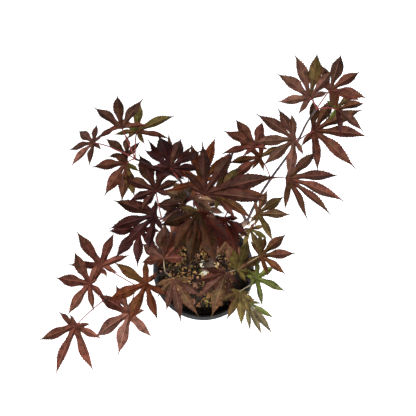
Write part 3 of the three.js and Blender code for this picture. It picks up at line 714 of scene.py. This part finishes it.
SPRAYS = {
    "foliage_right_lower": ("right_low", [
        leaf((73, 113, 416), 175, 40, "bronze", pitch=-20, spread=(0.85, 1.15), reach=(1.15, 1.3),
             lobes={-3: "olive_brown", 1: "maroon"}, strays={-3: (0, 1.6), 0: 4, 2: (-15, 0.5)}),
        leaf((106, 85, 420), 350, 83, "maroon", pitch=-20, roll=-15, spread=(0.65, 0.65), reach=(1.05, 0.9),
             width=0.68, strays={-3: (-10, 1.5), -2: -3, -1: 2, 0: -2, 1: -3, 2: (0, 1.1)}),
    ]),
    "foliage_right_middle": ("right_middle", [
        leaf((135, 138, 444), 5, 68, "maroon", pitch=-4, roll=-8, spread=(0.65, 1.05), reach=(1.2, 1),
             width=0.85, strays={-2: -5, -1: -5, 0: -4, 3: (-5, 1.6)}),
        leaf((108, 120, 466), 180, 45, "dusky", pitch=-4, roll=-10, spread=(0.95, 0.75), reach=(1.2, 1.25),
             strays={-3: (10, 1.5), -2: -5, -1: -10, 1: (0, 0.85), 2: (5, 1.1)}),
        leaf((65, 120, 438), 115, 50, "red_brown", pitch=-16, spread=(0.8, 1), reach=(1, 0.85),
             strays={0: 3, 1: -5, 2: (5, 1.1)}),
    ]),
    "foliage_right_tip": ("right_tip", [
        leaf((124, 162, 488), 105, 55, "dusky", pitch=12, roll=5, spread=(1, 0.65), reach=(0.9, 1.15),
             lobes={-1: "olive_brown"}, strays={1: -5, 3: (0, 1.2)}),
        leaf((148, 173, 484), 35, 46, "maroon", pitch=-2, spread=(0.8, 0.7), reach=(1.1, 1),
             lobes={1: "dusky", 2: "dusky"}, strays={-3: (-25, 1.3), -2: (8, 1.05), -1: -12, 1: (3, 1.15)}),
        leaf((159, 158, 464), 5, 42, "bronze", width=0.9,
             lobes={-3: "green", -2: "purple", -1: "umber", 1: "olive_brown", 3: "green"},
             strays={-1: 4, 0: 17}),
    ]),
    "foliage_graft": ("graft_bud", [
        leaf((71, 49, 379), 5, 46, "pale_brown", pitch=-16, spread=(0.75, 1.4), reach=(1.1, 0.9),
             lobes={1: "olive_brown", -1: "olive_brown"}, strays={-1: -5, -2: (10, 0.5), -3: 45}),
        leaf((66, 39, 322), 295, 29, "olive_brown", spread=(0.95, 0.95), reach=(1, 0.9),
             lobes={-1: "olive", 1: "olive"}, strays={-3: (10, 1.1), -1: -10}),
    ]),
    "foliage_centre_low": ("leader_low", [
        leaf((28, 40, 395), 260, 38, "crimson", spread=(0.8, 0.65), reach=(1.3, 1.35), width=1.35),
        leaf((41, 34, 290), 230, 37, "pale_brown", spread=(0.8, 1), reach=(1.05, 1)),
    ]),
    "foliage_centre": ("leader_fork", [
        leaf((4, 49, 490), 55, 71, "umber", pitch=-16, roll=-5, spread=(0.75, 0.75), reach=(0.9, 1.3),
             width=0.75, strays={-3: (10, 0.5), -2: 5, -1: -5, 0: 5, 1: (5, 1.15), 2: (10, 0.8)}),
        leaf((-3, 37, 452), 260, 59, "dark_bronze", spread=(0.7, 0.75), reach=(1.1, 1.1), width=1.25,
             lobes={-3: "olive_brown", 2: "crimson", 3: "crimson"}, strays={-1: (5, 0.9), 3: (0, 0.6)}),
        leaf((18, 56, 450), 0, 62, "olive_brown", pitch=-10, roll=-10, spread=(1, 0.75), reach=(1, 0.8),
             width=0.85, lobes={-2: "maroon", -1: "bronze", 0: "bronze"},
             strays={-2: (10, 0.9), 0: 5, 1: (15, 0.9), 2: -10}),
        leaf((1, 70, 460), 105, 59, "rust", pitch=-16, roll=-10, spread=(1, 0.7), reach=(1, 1.15),
             width=0.75),
        leaf((-15, 58, 420), 130, 36, "fawn", pitch=-14, roll=10, spread=(0.65, 0.85), reach=(1.15, 0.9),
             width=1.2),
        leaf((-21, 52, 415), 210, 35, "red_brown", pitch=-16, spread=(0.75, 0.9), reach=(1.2, 1.15),
             width=1.6, lobes={-2: "dusky", -1: "dusky", 0: "rosy"}, strays={3: (15, 1.2)}),
        leaf((-8, 56, 435), 0, 25, "fawn", pitch=-16, spread=(1, 0.75), reach=(1, 1.1), width=1.3),
        leaf((4, 53, 400), 305, 25, "dusky", width=1.2),
    ]),
    "foliage_left_top": ("leader_top", [
        leaf((-36, 86, 464), 75, 47, "purple", pitch=-18, roll=5, spread=(0.8, 0.85), reach=(1.15, 1.05),
             width=1.25, lobes={0: "dark_brown"}),
        leaf((-37, 84, 448), 85, 57, "purple", pitch=-8, spread=(0.95, 0.85), reach=(1, 0.85), width=0.6,
             lobes={0: "red_brown", -1: "bronze"}, strays={-1: 5, 0: (8, 0.95)}),
    ]),
    "foliage_left_far": ("left_tip", [
        leaf((-133, 128, 430), 185, 36, "dusky", pitch=-20, roll=15, spread=(1.05, 1.1), reach=(1.1, 1.05),
             width=1.15, lobes={-1: "rosy", 1: "rosy"}, strays={1: (-5, 1.05), 2: -5}),
        leaf((-95, 138, 456), 100, 54, "maroon", pitch=-16, spread=(0.7, 0.85), reach=(1, 0.95), width=0.9,
             lobes={-1: "dusky", 1: "dusky"},
             strays={-3: 20, -2: (-20, 0.8), 0: 3, 1: 9, 2: (44, 0.8), 3: (0, 0.6)}),
        leaf((-80, 140, 436), 90, 50, "olive_brown", pitch=-18, roll=-5, spread=(1.1, 1.25),
             reach=(0.75, 1.1), width=0.85, lobes={0: "olive", 1: "green", -2: "maroon"},
             strays={-3: 10, -1: -9, 3: -15}),
        leaf((-93, 114, 420), 135, 42, "dusky", pitch=-14, roll=5, spread=(1, 0.95), reach=(1, 0.8),
             width=1.05, strays={-3: (25, 1.1), 1: (0, 0.6), 2: (0, 0.5)}),
        leaf((-92, 102, 430), 225, 45, "maroon", roll=-5, spread=(0.8, 1), reach=(1.05, 1), width=1.15,
             lobes={2: "olive_brown", 3: "olive"},
             strays={-3: (25, 0.8), -2: (0, 0.6), -1: -4, 0: 6, 1: 4, 2: (-10, 1.15)}),
    ]),
    "foliage_left_middle": ("middle_tip", [
        leaf((-55, 66, 436), 115, 53, "dark_brown", pitch=-2, roll=5, spread=(1.05, 1.05),
             reach=(0.85, 0.85), width=1.2, strays={-2: (0, 0.9), -1: (0, 1.1), 3: (-15, 1.7)}),
        leaf((-57, 38, 422), 190, 57, "purple", pitch=-4, roll=5, spread=(0.85, 0.65), reach=(1, 0.95),
             lobes={-1: "dark_brown"}, strays={-3: -20, -2: (5, 0.9), -1: (-8, 1.1), 0: 3}),
        leaf((-77, 24, 408), 265, 43, "purple", pitch=-16, roll=-5, spread=(1.1, 0.95), reach=(0.8, 1.1),
             width=1.1, strays={-2: (-5, 1.1)}),
    ]),
    "foliage_over_pot": ("low_left", [
        leaf((-60, 7, 240), 100, 49, "red_brown", roll=-5, spread=(1.05, 0.75), reach=(0.95, 0.85),
             width=1.7, lobes={-1: "maroon", 0: "dusky", 1: "rosy", 3: "russet"},
             strays={-3: (0, 2), -2: (0, 1.2), -1: (5, 1.2), 0: (-8, 1.2)}),
        leaf((-44, -23, 240), 280, 64, "pale_brown", pitch=-16, roll=20, spread=(0.65, 0.65),
             reach=(1.05, 0.85), width=0.85, lobes={-1: "dusky", 0: "dusky", 2: "dusky"},
             strays={-3: (5, 1.6)}),
    ]),
    "foliage_low_left": ("low_left_middle", [
        leaf((-144, -9, 292), 125, 65, "red_brown", pitch=-4, roll=10, spread=(1.35, 1.2),
             reach=(0.75, 0.85), width=0.9, strays={-3: (5, 1.2), 0: 5, 2: (10, 0.85)}),
        leaf((-103, -75, 284), 205, 66, "rosy", pitch=-20, roll=5, spread=(1.3, 1.15), reach=(0.95, 0.95),
             width=1.1, lobes={-1: "red_brown"}, strays={-3: (20, 0.9), -2: 10, -1: -5, 0: 5, 1: -4, 2: 6}),
        leaf((-77, -36, 314), 200, 57, "russet", pitch=-8, roll=-10, spread=(1.05, 1.2), reach=(1.05, 1),
             lobes={-1: "bronze"}, strays={-2: (-10, 0.8), -1: -7, 2: (-2, 1.15), 3: (-5, 1.4)}),
    ]),
    "foliage_low_left_tip": ("low_left_tip", [
        leaf((-174, -92, 300), 250, 71, "red_brown", pitch=-4, roll=20, spread=(1.05, 1.15),
             reach=(0.9, 0.85), width=0.85,
             strays={-3: (25, 0.8), -2: (-5, 0.8), -1: (-5, 1.1), 0: (-6, 1.02), 1: (2, 1.1), 2: (0, 0.9),
                     3: (-20, 0.9)}),
        leaf((-154, -36, 316), 170, 57, "red_brown", pitch=-20, roll=-5, spread=(1.3, 1.15), width=1.1,
             strays={-3: (0, 0.5), -2: (-10, 0.75), -1: -2, 1: 5, 2: (0, 0.85), 3: (-15, 1.3)}),
    ]),
    "foliage_low_right": ("low_right", [
        leaf((85, 9, 262), 40, 61, "bronze", pitch=-22, roll=5, spread=(0.65, 0.85), reach=(0.75, 1.05),
             width=0.92, lobes={-1: "maroon", 2: "olive_brown", 3: "maroon"},
             strays={-3: (0, 1.3), -1: 4, 0: 2, 1: (5, 0.8), 2: (-5, 1.1), 3: (0, 1.6)}),
        leaf((79, -23, 250), 345, 50, "green", pitch=-16, roll=-10, spread=(1.15, 1.4), reach=(0.8, 0.95),
             width=0.9, strays={-2: (0, 0.5), -1: (-7, 0.92), 0: -5, 3: (0, 1.3)}),
        leaf((53, -10, 243), 70, 55, "olive", spread=(0.65, 1), reach=(0.95, 1), lobes={-1: "pale_brown"}),
        leaf((35, -14, 232), 220, 54, "dusky", roll=5, spread=(0.8, 0.65), reach=(1.3, 0.9),
             lobes={1: "pale_brown", -1: "umber", -2: "umber"}),
    ]),
    "foliage_low_right_front": ("low_right_tip", [
        leaf((54, -43, 254), 275, 47, "olive", pitch=-6, roll=-10, spread=(0.6, 0.85), reach=(0.85, 0.9),
             lobes={-1: "olive_brown", -2: "olive_brown"}, strays={-1: (5, 1.1)}),
        leaf((67, -55, 208), 315, 65, "green", spread=(0.45, 0.45), reach=(0.85, 0.95), width=0.58,
             lobes={0: "sage", -1: "sage", -2: "sage"}, strays={0: -3, 1: -4, 2: (0, 0.6), 3: (0, 0.7)}),
    ]),
}


# Each tone with the second tone that shows through it in patches.
LEAF_TONES = {
    "purple": ((0.027, 0.0078, 0.0065), (0.025, 0.0095, 0.010)),
    "crimson": ((0.018, 0.0026, 0.0013), (0.024, 0.0048, 0.0024)),
    "dark_brown": ((0.036, 0.0125, 0.0095), (0.038, 0.018, 0.009)),
    "umber": ((0.044, 0.0155, 0.0105), (0.040, 0.020, 0.012)),
    "maroon": ((0.056, 0.0190, 0.0118), (0.048, 0.0235, 0.0100)),
    "dusky": ((0.070, 0.030, 0.021), (0.060, 0.031, 0.018)),
    "red_brown": ((0.100, 0.032, 0.022), (0.100, 0.042, 0.025)),
    "dark_bronze": ((0.018, 0.0066, 0.0028), (0.016, 0.0095, 0.0028)),
    "russet": ((0.061, 0.0165, 0.0068), (0.049, 0.0200, 0.0068)),
    "bronze": ((0.064, 0.022, 0.009), (0.052, 0.028, 0.008)),
    # The leaf's own red-brown, lightened with painted light shining through it from below.
    "rust": ((0.110, 0.030, 0.012), (0.075, 0.030, 0.009)),
    "rosy": ((0.130, 0.054, 0.038), (0.120, 0.058, 0.042)),
    # Painted light: a pale tone for leaves in shade, standing in for light shining through them.
    "fawn": ((0.190, 0.110, 0.068), (0.160, 0.120, 0.058)),
    "pale_brown": ((0.090, 0.045, 0.024), (0.075, 0.050, 0.020)),
    "olive_brown": ((0.055, 0.032, 0.012), (0.050, 0.038, 0.010)),
    "olive": ((0.070, 0.056, 0.014), (0.066, 0.046, 0.017)),
    "green": ((0.062, 0.074, 0.017), (0.064, 0.062, 0.022)),
    "sage": ((0.094, 0.078, 0.040), (0.090, 0.082, 0.032)),
}


MIDRIB_FINENESS = 5
SIDE_VEINS = 11
SIDE_VEIN_SWEEP = 1.6
SIDE_VEIN_FINENESS = 6
SIDE_VEIN_STRENGTH = 0.45
VEIN_STRENGTH = 0.72
MOTTLE_HEIGHT = 0.6
MARGIN_REDNESS = (0.95, 0.5, 0.45)
VEIN_PALER = 2.5
VEIN_ADDED = (0.012, 0.003, 0.002)


def vein_pattern():
    """A node group for blades: pale veins, mottling and reddened margins laid out from the leaf's map."""
    group, ins, outs = pattern_group("vein_pattern", ("Tone", "Patch", "Vein"), ("Color", "Relief", "Gloss"))
    nodes, link = group.nodes, group.links.new

    def maths(kind, first, second=None):
        """One Math node that takes sockets or numbers."""
        node = pattern_node(nodes, "Math")
        node.operation = kind
        for socket, value in zip(node.inputs, (first, second)):
            if isinstance(value, (int, float)):
                socket.default_value = value
            elif value is not None:
                link(value, socket)
        return node.outputs["Value"]

    def noise_node(scale, detail):
        """Noise over the piece's own place."""
        node = pattern_node(nodes, "TexNoise", Scale=scale, Detail=detail)
        link(where.outputs["Object"], node.inputs["Vector"])
        return node.outputs["Fac"]

    def range_node(value, **ends):
        """Stretches a value from one range to another."""
        node = pattern_node(nodes, "MapRange", **ends)
        link(value, node.inputs["Value"])
        return node.outputs["Result"]

    def line_node(away, fineness):
        """A soft line, 1 where away is 0."""
        return maths("SUBTRACT", 1, maths("MINIMUM", maths("MULTIPLY", away, fineness), 1))

    where = pattern_node(nodes, "TexCoord")
    blade_map = pattern_node(nodes, "UVMap")
    blade_map.uv_map = "blade_map"
    parts = pattern_node(nodes, "SeparateXYZ")
    link(blade_map.outputs["UV"], parts.inputs["Vector"])
    aside = maths("ABSOLUTE", maths("MULTIPLY", maths("SUBTRACT", parts.outputs["X"], 0.5), 2))
    along = maths("MULTIPLY", parts.outputs["Y"], SIDE_VEINS)
    swept = maths("SUBTRACT", along, maths("MULTIPLY", aside, SIDE_VEIN_SWEEP))
    from_vein = maths("ABSOLUTE", maths("SUBTRACT", maths("FRACT", swept), 0.5))
    side_vein = maths("MULTIPLY", line_node(from_vein, SIDE_VEIN_FINENESS), SIDE_VEIN_STRENGTH)
    veins = maths("MAXIMUM", line_node(aside, MIDRIB_FINENESS), side_vein)
    mottle = noise_node(150, 4)
    shade = range_node(mottle, From_Min=0.3, From_Max=0.7, To_Min=0.42, To_Max=1.72)
    # Each lobe's random brightness, with the painted shade on the two halves of its fold, scales the colour
    # here.
    lobe_brightness_and_painted_shade = pattern_node(nodes, "Attribute")
    lobe_brightness_and_painted_shade.attribute_name = "lobe_brightness_and_painted_shade"
    patch_share = range_node(noise_node(34, 2), From_Min=0.46, From_Max=0.62)
    mottled = pattern_node(nodes, "VectorMath")
    mottled.operation = "SCALE"
    link(blend_colours(group, patch_share, ins.outputs["Tone"], ins.outputs["Patch"]), mottled.inputs[0])
    link(maths("MULTIPLY", shade, lobe_brightness_and_painted_shade.outputs["Fac"]), mottled.inputs["Scale"])
    vein_share = maths("MULTIPLY", veins, VEIN_STRENGTH)
    veined = blend_colours(group, vein_share, mottled.outputs["Vector"], ins.outputs["Vein"])
    reddened = pattern_node(nodes, "VectorMath")
    reddened.operation = "MULTIPLY"
    reddened.inputs[1].default_value = MARGIN_REDNESS
    link(veined, reddened.inputs[0])
    margin = range_node(aside, From_Min=0.62, From_Max=1, To_Max=0.75)
    link(blend_colours(group, margin, veined, reddened.outputs["Vector"]), outs.inputs["Color"])
    link(maths("SUBTRACT", maths("MULTIPLY", mottle, MOTTLE_HEIGHT), veins), outs.inputs["Relief"])
    link(range_node(mottle, To_Min=0.38, To_Max=0.6), outs.inputs["Gloss"])
    return group


VEINS = vein_pattern()


def blade_finish(name, tone, patch, vein):
    """The finish of one tone of blade, with patches of a second tone and its veins in a paler colour."""
    return patterned_finish(name, VEINS, tone, 0.45, 0.04, 0.8, 0.6 * MM,
                            Tone=(*tone, 1), Patch=(*patch, 1), Vein=(*vein, 1))


LEAF_FINISHES = {}
for tone, (colour, patch) in LEAF_TONES.items():
    vein = tuple(part * VEIN_PALER + added for part, added in zip(colour, VEIN_ADDED))
    LEAF_FINISHES[tone] = blade_finish("leaf_" + tone, colour, patch, vein)
UNDERSIDE = blade_finish("leaf_underside", (0.12, 0.07, 0.05), (0.11, 0.08, 0.05), (0.2, 0.11, 0.08))


def lobe_outline(share):
    """The half width of a lobe, 1 at its widest, at a share of the way from hub to tip."""
    if share < WIDEST_AT:
        return math.sin(max(0, share) / WIDEST_AT * math.pi / 2) ** 1.25
    beyond = min(1, (share - WIDEST_AT) / (1 - WIDEST_AT))
    body = math.cos(min(1, 1.3 * beyond) * math.pi / 2)
    return 0.72 * body ** 1.4 + 0.28 * (1 - beyond) ** 0.8


def grow_blade(row, rng, corners, faces, places, brightness_and_painted_shades, face_tones):
    """Adds one blade's lobes to the lists of a spray's corners, faces, map places, brightness with painted
    fold shade, and tones.
    """
    hub, length = Vector(row["hub"]) * MM, row["length"] * MM
    turns = [math.radians(degrees) for degrees in (row["roll"], -row["pitch"], row["heading"])]
    pose = Euler(turns).to_matrix()

    def lobe_angle(step):
        """The angle of a lobe from the middle one, in radians."""
        even = math.copysign(LOBE_ANGLE[abs(step)] * row["spread"][0 if step > 0 else 1], step)
        return math.radians(even + row["strays"].get(step, (0, 1))[0])

    for step in range(-3, 4):
        side = 0 if step > 0 else 1
        reach = 1 if step == 0 else row["reach"][side]
        lobe = length * LOBE_REACH[abs(step)] * reach * row["strays"].get(step, (0, 1))[1] * LOBE_TAIL
        half = lobe * LOBE_HALF_WIDTH[abs(step)] * row["width"] * rng.uniform(*WIDTH_PLAY)
        angle = lobe_angle(step)
        bend = rng.uniform(-BEND_PLAY, BEND_PLAY) * lobe
        twist = rng.uniform(-TWIST_PLAY, TWIST_PLAY)
        curl = rng.uniform(0, CURL_PLAY) * lobe
        wave = rng.uniform(0, math.tau)
        shade = rng.uniform(*SHADE_PLAY)
        # Painted shade: one half of the lobe lighter and the other darker, as if its fold caught the light.
        painted_fold_shade = rng.uniform(-PAINTED_FOLD_SHADE_PLAY, PAINTED_FOLD_SHADE_PLAY)
        creases = {}
        for hand in (-1, 1):
            neighbour = step + hand
            if abs(neighbour) <= 3:
                opening, sinus = hand * (lobe_angle(neighbour) - angle) / 2, SINUS * length
            else:
                opening, sinus = math.pi - abs(angle), STALK_SINUS * length
            creases[hand] = (sinus * math.cos(opening), sinus * math.sin(opening))
        start = len(corners)
        columns = 2 * HALF_COLUMNS + 1
        root = (creases[-1][0] + creases[1][0]) / 2
        for station in range(LOBE_STATIONS + 1):
            beyond = max(0, station - SINUS_STATIONS) / (LOBE_STATIONS - SINUS_STATIONS)
            inside = min(1, station / SINUS_STATIONS)
            rib = root * inside + (lobe - root) * beyond
            free = smooth(beyond * 4)
            toothed = TOOTH * smooth(beyond * 6) * smooth((1 - beyond) * 4)
            for column in range(-HALF_COLUMNS, HALF_COLUMNS + 1):
                hand = 1 if column > 0 else -1
                share = abs(column) / HALF_COLUMNS
                crease_along, crease_aside = creases[hand]
                edge_along = crease_along * inside + (lobe - crease_along) * beyond
                full = half * lobe_outline(edge_along / lobe)
                edge_aside = crease_aside * inside + (full - crease_aside) * smooth(beyond * EDGE_OPENING)
                if share == 1 and station % 2:
                    tooth = toothed * rng.uniform(0.2, 1)
                    edge_aside += tooth
                    edge_along += TOOTH_LEAN * tooth
                along = rib + (edge_along - rib) * share
                off = edge_aside * share * hand
                lift = FOLD * abs(off) * (1 - 0.6 * beyond)
                ripple = RIPPLE * lobe * math.sin(along / lobe * RIPPLE_PACE + wave)
                lift += free * (off * math.tan(twist) + ripple * share)
                off += bend * beyond ** 2.5
                x = along * math.cos(angle) - off * math.sin(angle)
                y = along * math.sin(angle) + off * math.cos(angle)
                point = hub + pose @ Vector((x, y, lift))
                point.z -= BLADE_DROOP * (x * x + y * y) / length + curl * beyond ** 3
                corners.append(point)
                places.append((0.5 + 0.5 * share * hand, along / lobe))
                # Each lobe's random brightness, with painted shade between the two halves of its fold.
                brightness_and_painted_shades.append(1 + (shade * (1 + painted_fold_shade * hand * min(1, 3 * share)) - 1) * free)
        for station in range(LOBE_STATIONS):
            for column in range(columns - 1):
                first = start + station * columns + column
                faces.append((first, first + columns, first + columns + 1, first + 1))
                face_tones.append(row["lobes"].get(step, row["tone"]))


def spray_piece(name, rows, rng):
    """All the blades of one spray as one closed piece, each lobe in its own tone."""
    corners, faces, places, brightness_and_painted_shades, face_tones = [], [], [], [], []
    for row in rows:
        grow_blade(row, rng, corners, faces, places, brightness_and_painted_shades, face_tones)
    piece = mesh_piece(name, corners, faces)
    mesh = piece.data
    blade_map = mesh.uv_layers.new(name="blade_map")
    for loop in mesh.loops:
        blade_map.data[loop.index].uv = places[loop.vertex_index]
    # Each corner's lobe brightness, with the painted fold shade, for the vein pattern.
    mesh.attributes.new("lobe_brightness_and_painted_shade", "FLOAT", "POINT").data.foreach_set("value", brightness_and_painted_shades)
    tones = sorted(set(face_tones))
    for face, tone in zip(mesh.polygons, face_tones):
        face.material_index = tones.index(tone)
    finish_piece(piece, name, *[LEAF_FINISHES[tone] for tone in tones], UNDERSIDE)
    bpy.ops.object.mode_set(mode="EDIT")
    bpy.ops.mesh.select_all(action="SELECT")
    bpy.ops.mesh.remove_doubles(threshold=0.02 * MM)
    bpy.ops.object.mode_set(mode="OBJECT")
    apply_modifier(piece, "SOLIDIFY", thickness=BLADE_THICKNESS, offset=-1, material_offset=len(tones),
                   use_even_offset=False)
    bpy.ops.object.shade_smooth_by_angle(angle=math.radians(32))
    return piece


rng = random.Random(LEAF_SEED)
for solid, (_, rows) in SPRAYS.items():
    spray = spray_piece(solid.replace("foliage", "leaves"), rows, rng)
    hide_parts(solid)


# ---- Leaf stalks -------------------------------------------------
# A wiry stalk carries each blade. It is swollen where it clasps its node, arches over and ends in a
# small knuckle at the hub of the blade. Stalks in the sun are red, those in the shade are straw-pale.
STALK_RADIUS = 0.75
STALK_FOOT_RADIUS = 0.95
STALK_KNUCKLE_RADIUS = 1.0
STALK_ARCH = 0.18
STALK_BENDS = ((0.12, 0.45), (0.5, 1), (0.92, 0.3))
red_stalk = crumb_finish(
    "red_stalk", (0.09, 0.010, 0.009), (0.20, 0.032, 0.024), 300, 0.5, 0.2, 0.1 * MM, 0.25)
straw_stalk = crumb_finish(
    "straw_stalk", (0.2, 0.13, 0.06), (0.42, 0.31, 0.17), 300, 0.5, 0.2, 0.1 * MM, 0.4)
SHADED_SPRAYS = ("foliage_low_right", "foliage_low_right_front", "foliage_over_pot")


def stalk_piece(name, node, rows, finish):
    """The stalks of one spray, from its node to the hub of each blade, as one piece."""
    stalks = []
    foot = Vector(NODES[node])
    radii = [STALK_FOOT_RADIUS, STALK_RADIUS, STALK_RADIUS, STALK_RADIUS, STALK_KNUCKLE_RADIUS]
    for row in rows:
        run = Vector(row["hub"]) - foot
        lift = Vector((0, 0, run.length * STALK_ARCH))
        bends = [foot + run * share + lift * rise for share, rise in STALK_BENDS]
        stalks.append(limb(name, [foot, *bends, row["hub"]], radii, smoothness=8, roundness=1))
    choose(*stalks)
    bpy.ops.object.join()
    finish_piece(stalks[0], name, finish)
    bpy.ops.object.shade_smooth_by_angle(angle=math.radians(60))


for solid, (node, rows) in SPRAYS.items():
    finish = straw_stalk if solid in SHADED_SPRAYS else red_stalk
    stalk_piece(solid.replace("foliage", "stalks"), node, rows, finish)
